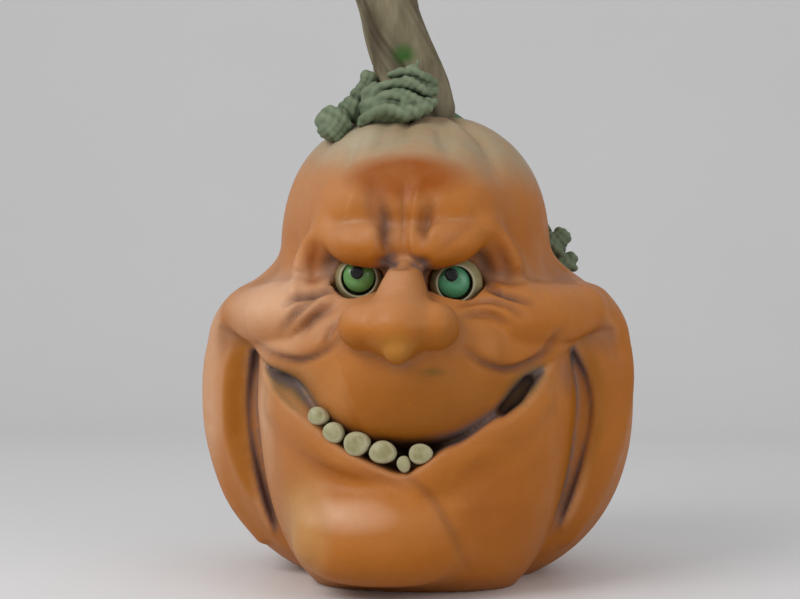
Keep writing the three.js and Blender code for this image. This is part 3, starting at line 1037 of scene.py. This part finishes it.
def ranged(tree, value, low, high, to_low, to_high):
    made = node(
        tree, "ShaderNodeMapRange",
        Value=value, From_Min=low, From_Max=high, To_Min=to_low, To_Max=to_high,
    )
    return made.outputs[0]


def times(tree, a, b):
    made = tree.nodes.new("ShaderNodeMath")
    made.operation = "MULTIPLY"
    plug(tree, made.inputs[0], a)
    plug(tree, made.inputs[1], b)
    return made.outputs[0]


def mask(tree, name):
    made = tree.nodes.new("ShaderNodeAttribute")
    made.attribute_name = name
    return made.outputs["Fac"]


def blend(tree, amount, below, above):
    made = tree.nodes.new("ShaderNodeMix")
    made.data_type = "RGBA"
    plug(tree, made.inputs[0], amount)
    plug(tree, made.inputs[6], below)
    plug(tree, made.inputs[7], above)
    return made.outputs[2]


def paint(red, green, blue):
    """A colour given in display values from 0 to 255."""
    return (*[((c / 255 + 0.055) / 1.055) ** 2.4 for c in (red, green, blue)], 1)


def coat(tree, below, name, colour, strength, breakup=55):
    """A coat of paint over the one below it, thick where a mask says, worn by noise at its edges."""
    worn = ranged(tree, noise(tree, breakup), 0.3, 0.7, 0.75 * strength, strength)
    return blend(tree, times(tree, mask(tree, name), worn), below, colour)


def finish_material(name, colour_of, roughness, bumps, coat_weight=0.0):
    """A material whose colour is built by colour_of(tree). roughness is (least, most); a bump is
    (features to a metre, depth in mm, stretch)."""
    mat = bpy.data.materials.new(name)
    mat.use_nodes = True
    tree = mat.node_tree
    shader = tree.nodes["Principled BSDF"]
    plug(tree, shader.inputs["Base Color"], colour_of(tree))
    plug(tree, shader.inputs["Roughness"], ranged(tree, noise(tree, 90), 0.3, 0.7, *roughness))
    shader.inputs["Specular IOR Level"].default_value = 0.22
    shader.inputs["Coat Weight"].default_value = coat_weight
    shader.inputs["Coat Roughness"].default_value = 0.25
    relief = None
    for scale, depth, stretch in bumps:
        height = noise(tree, scale, 6, stretch)
        made = node(tree, "ShaderNodeBump", Height=height, Distance=depth * MM, Strength=1.0)
        if relief:
            tree.links.new(relief, made.inputs["Normal"])
        relief = made.outputs[0]
    tree.links.new(relief, shader.inputs["Normal"])
    return mat


def mottled(tree, first, second, scale, detail=5.0, stretch=(1, 1, 1)):
    return blend(tree, ranged(tree, noise(tree, scale, detail, stretch), 0.35, 0.65, 0, 1), first, second)


# The coats on the head, from the first to the last: mask, colour, strength.
HEAD_COATS = [
    # painted shade on faces that look down
    ("underside_shade", paint(158, 90, 14), 0.9),
    ("shaded", paint(134, 80, 14), 0.55),
    # painted light on faces that look to the left
    ("lit_from_left", paint(200, 144, 100), 0.5),
    ("sunlit", paint(196, 142, 100), 0.6),
    # painted highlights on the left cheek, the top of the chin and the nose bridge
    ("painted_highlights", paint(226, 180, 146), 0.8),
    # painted highlight on the left rim of the body and the left of the jaw
    ("left_side_highlight", paint(214, 172, 140), 0.75),
    ("pale_lip", paint(194, 132, 74), 0.5),
    ("temples", paint(164, 88, 16), 0.85),
    ("facets", paint(158, 94, 0), 0.95),
    ("nose_tip", paint(166, 116, 38), 0.8),
    # painted shade under the nose
    ("shade_under_nose", paint(92, 82, 28), 0.8),
    ("tan_chin", paint(206, 176, 112), 0.55),
    ("rosy", paint(190, 110, 84), 0.6),
    # painted reddish shade under the lower lip and in the hollow of the right jaw
    ("russet_shade", paint(160, 84, 28), 0.4),
    ("crown", paint(160, 152, 126), 0.85),
    ("crown_left", paint(196, 188, 164), 0.6),
    ("forehead", paint(148, 74, 2), 0.98),
    ("olive", paint(128, 112, 62), 0.95),
    ("ridge", paint(214, 162, 118), 0.35),
    # painted shade in hollows
    ("hollow", paint(120, 92, 80), 0.55),
    # painted shade in the creases
    ("fold", paint(98, 62, 46), 0.5),
    # painted shade, darkest in the deepest creases
    ("deep_crease_shade", paint(70, 54, 56), 0.8),
    # painted shade in the deepest cracks and at the tops of the grooves
    ("deep", paint(112, 98, 98), 0.85),
    # painted shade inside the mouth
    ("mouth", paint(74, 52, 36), 0.95),
]


def head_colour(tree):
    colour = mottled(tree, paint(180, 108, 36), paint(164, 94, 18), 14)
    for name, shade, strength in HEAD_COATS:
        colour = coat(tree, colour, name, shade, strength)
    specks = ranged(tree, noise(tree, 420, 2), 0.74, 0.78, 0, 0.35)
    return blend(tree, specks, colour, paint(92, 62, 40))


def stem_colour(tree):
    streaked = mottled(tree, paint(144, 134, 108), paint(90, 80, 58), 60, 6, (1, 1, 0.25))
    for name, shade, strength in (
        # painted shade in the grooves and the cut end
        ("groove_shade", paint(66, 56, 42), 0.75),
        # painted shade at the foot of the stem
        ("shade_at_foot", paint(92, 84, 74), 0.5),
        ("stain", paint(40, 88, 24), 1.0),
    ):
        streaked = coat(tree, streaked, name, shade, strength, 120)
    return streaked


def leaf_colour(tree):
    green = mottled(tree, paint(120, 132, 106), paint(100, 114, 88), 60)
    green = coat(tree, green, "sunlit", paint(132, 144, 116), 0.5)
    # painted shade in the hollows and creases
    return coat(tree, green, "hollow", paint(48, 62, 48), 0.5)


def vine_colour(tree):
    return mottled(tree, paint(92, 120, 92), paint(74, 92, 64), 90)


def eye_colour(tree):
    white = mottled(tree, paint(152, 144, 106), paint(126, 118, 78), 80)
    white = coat(tree, white, "rim", paint(196, 192, 168), 0.6, 200)
    # painted shadow in the pocket round the iris
    return coat(tree, white, "pocket", paint(10, 12, 12), 1.0, 200)


def iris_colour(inner, streak, outer):
    def colour(tree):
        return coat(tree, mottled(tree, inner, streak, 200), "outer", outer, 0.5, 240)
    return colour


def pupil_colour(tree):
    return mottled(tree, paint(14, 14, 16), paint(24, 22, 24), 300)


def tooth_colour(tree):
    cream = mottled(tree, paint(164, 160, 122), paint(140, 132, 92), 160)
    # painted highlight round the front edge
    return coat(tree, cream, "edge", paint(206, 202, 172), 0.6, 200)


GRAIN = (900, 0.12, (1, 1, 1))
MODELLED = [(38, 1.6, (1, 1, 1)), (130, 0.5, (1, 1, 1)), GRAIN]  # the dents of fingers and tools
SKIN = finish_material("orange_skin", head_colour, (0.42, 0.58), MODELLED, 0.04)
STEM_BROWN = finish_material("stem_brown", stem_colour, (0.55, 0.75), [(160, 1.2, (1, 1, 0.16)), GRAIN])
LEAF_GREEN = finish_material("leaf_green", leaf_colour, (0.5, 0.68), [(140, 0.8, (1, 1, 1)), GRAIN])
VINE_GREEN = finish_material("vine_green", vine_colour, (0.5, 0.7), [(220, 0.6, (1, 1, 0.4)), GRAIN])
EYE_WHITE = finish_material("eye_white", eye_colour, (0.28, 0.42), [(120, 0.4, (1, 1, 1)), GRAIN], 0.3)
IRIS_COLOURS = {
    "left": iris_colour(paint(112, 164, 88), paint(102, 150, 86), paint(76, 126, 66)),
    "right": iris_colour(paint(82, 150, 110), paint(74, 144, 104), paint(58, 116, 84)),
}
IRIS_GREEN = {
    side: finish_material(f"iris_green_{side}", IRIS_COLOURS[side], (0.2, 0.32), [GRAIN], 0.5)
    for side in SIDES
}
PUPIL_BLACK = finish_material("pupil_black", pupil_colour, (0.3, 0.4), [GRAIN], 0.2)
TOOTH_CREAM = finish_material("tooth_cream", tooth_colour, (0.35, 0.5), [(260, 0.5, (1, 1, 1)), GRAIN], 0.15)


# -------- pieces

def put(obj, node_name, mat):
    """Sets a finished piece in the place of its CAD node."""
    obj.data.materials.append(mat)
    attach(obj, "root")
    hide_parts(node_name)


put(make_head(), "pumpkin_head", SKIN)
for eye in SIDES:
    put(make_eyeball(eye), f"eyeball_{eye}", EYE_WHITE)
    put(make_iris(eye), f"iris_{eye}", IRIS_GREEN[eye])
    put(make_pupil(eye), f"pupil_{eye}", PUPIL_BLACK)
for tooth_number in range(1, 7):
    tooth = f"tooth_{tooth_number}"
    put(make_tooth(tooth, tooth_number), tooth, TOOTH_CREAM)
put(make_stem(), "stem", STEM_BROWN)
put(make_vine(), "vine", VINE_GREEN)
for leaf_name in LEAVES:
    put(make_leaf(leaf_name), leaf_name, LEAF_GREEN)


# -------- floor, light and camera

VIEW_AZIMUTH = math.radians(6)
VIEW_DISTANCE = 1.1
VIEW_HEIGHT = 0.188
VIEW_SHIFT = -0.0135  # how far the middle of the picture lies to the right of the object's axis
PICTURE_WIDTH = 0.693 * 0.8  # what the picture spans at the object
SENSOR = 36


def look_at(obj, at):
    obj.rotation_mode = "QUATERNION"
    obj.rotation_quaternion = (Vector(at) - obj.location).to_track_quat("-Z", "Y")


def add_camera():
    camera = bpy.data.objects.new("camera", bpy.data.cameras.new("camera"))
    right = Vector((math.cos(VIEW_AZIMUTH), math.sin(VIEW_AZIMUTH), 0))
    back = Vector((math.sin(VIEW_AZIMUTH), -math.cos(VIEW_AZIMUTH), 0))
    target = Vector((0, 0, VIEW_HEIGHT)) + VIEW_SHIFT * right
    camera.location = target + VIEW_DISTANCE * back
    look_at(camera, target)
    camera.data.sensor_width = SENSOR
    camera.data.lens = SENSOR * VIEW_DISTANCE / PICTURE_WIDTH
    bpy.context.scene.collection.objects.link(camera)
    bpy.context.scene.camera = camera


BACKDROP_START = 1100  # where the paper begins to rise behind the object
BACKDROP_BEND = 900


def paper_colour(tree):
    return mottled(tree, paint(234, 234, 235), paint(232, 232, 233), 2)


def add_floor():
    bend = np.linspace(0, np.pi / 2, 24)
    along = BACKDROP_START + BACKDROP_BEND * np.sin(bend)
    curve = np.stack([along, BACKDROP_BEND * (1 - np.cos(bend))], 1)
    line = np.vstack([(-3000, 0), curve, (BACKDROP_START + BACKDROP_BEND, 4000)])
    verts = [(x, y, z) for y, z in line for x in (-4000, 4000)]
    faces = [(2 * i, 2 * i + 1, 2 * i + 3, 2 * i + 2) for i in range(len(line) - 1)]
    floor = new_object("backdrop", verts, faces)
    paper = finish_material("pale_paper", paper_colour, (0.4, 0.44), [(40, 0.02, (1, 1, 1))])
    floor.data.materials.append(paper)


def add_area_light(name, place, size, power):
    light = bpy.data.lights.new(name, "AREA")
    light.size = size
    light.energy = power
    obj = bpy.data.objects.new(name, light)
    obj.location = place
    look_at(obj, (0, 0, 0.15))
    bpy.context.scene.collection.objects.link(obj)


def add_world(strength):
    world = bpy.data.worlds.new("studio")
    world.use_nodes = True
    background = world.node_tree.nodes["Background"]
    background.inputs["Color"].default_value = (0.57, 0.57, 0.57, 1)
    background.inputs["Strength"].default_value = strength
    bpy.context.scene.world = world


add_camera()
add_floor()
add_world(strength=0.9)
add_area_light("key", place=(-0.9, -1.0, 1.1), size=0.8, power=12)
add_area_light("fill", place=(1.0, -0.9, 0.5), size=0.8, power=3.6)
bpy.context.scene.view_settings.view_transform = "Standard"
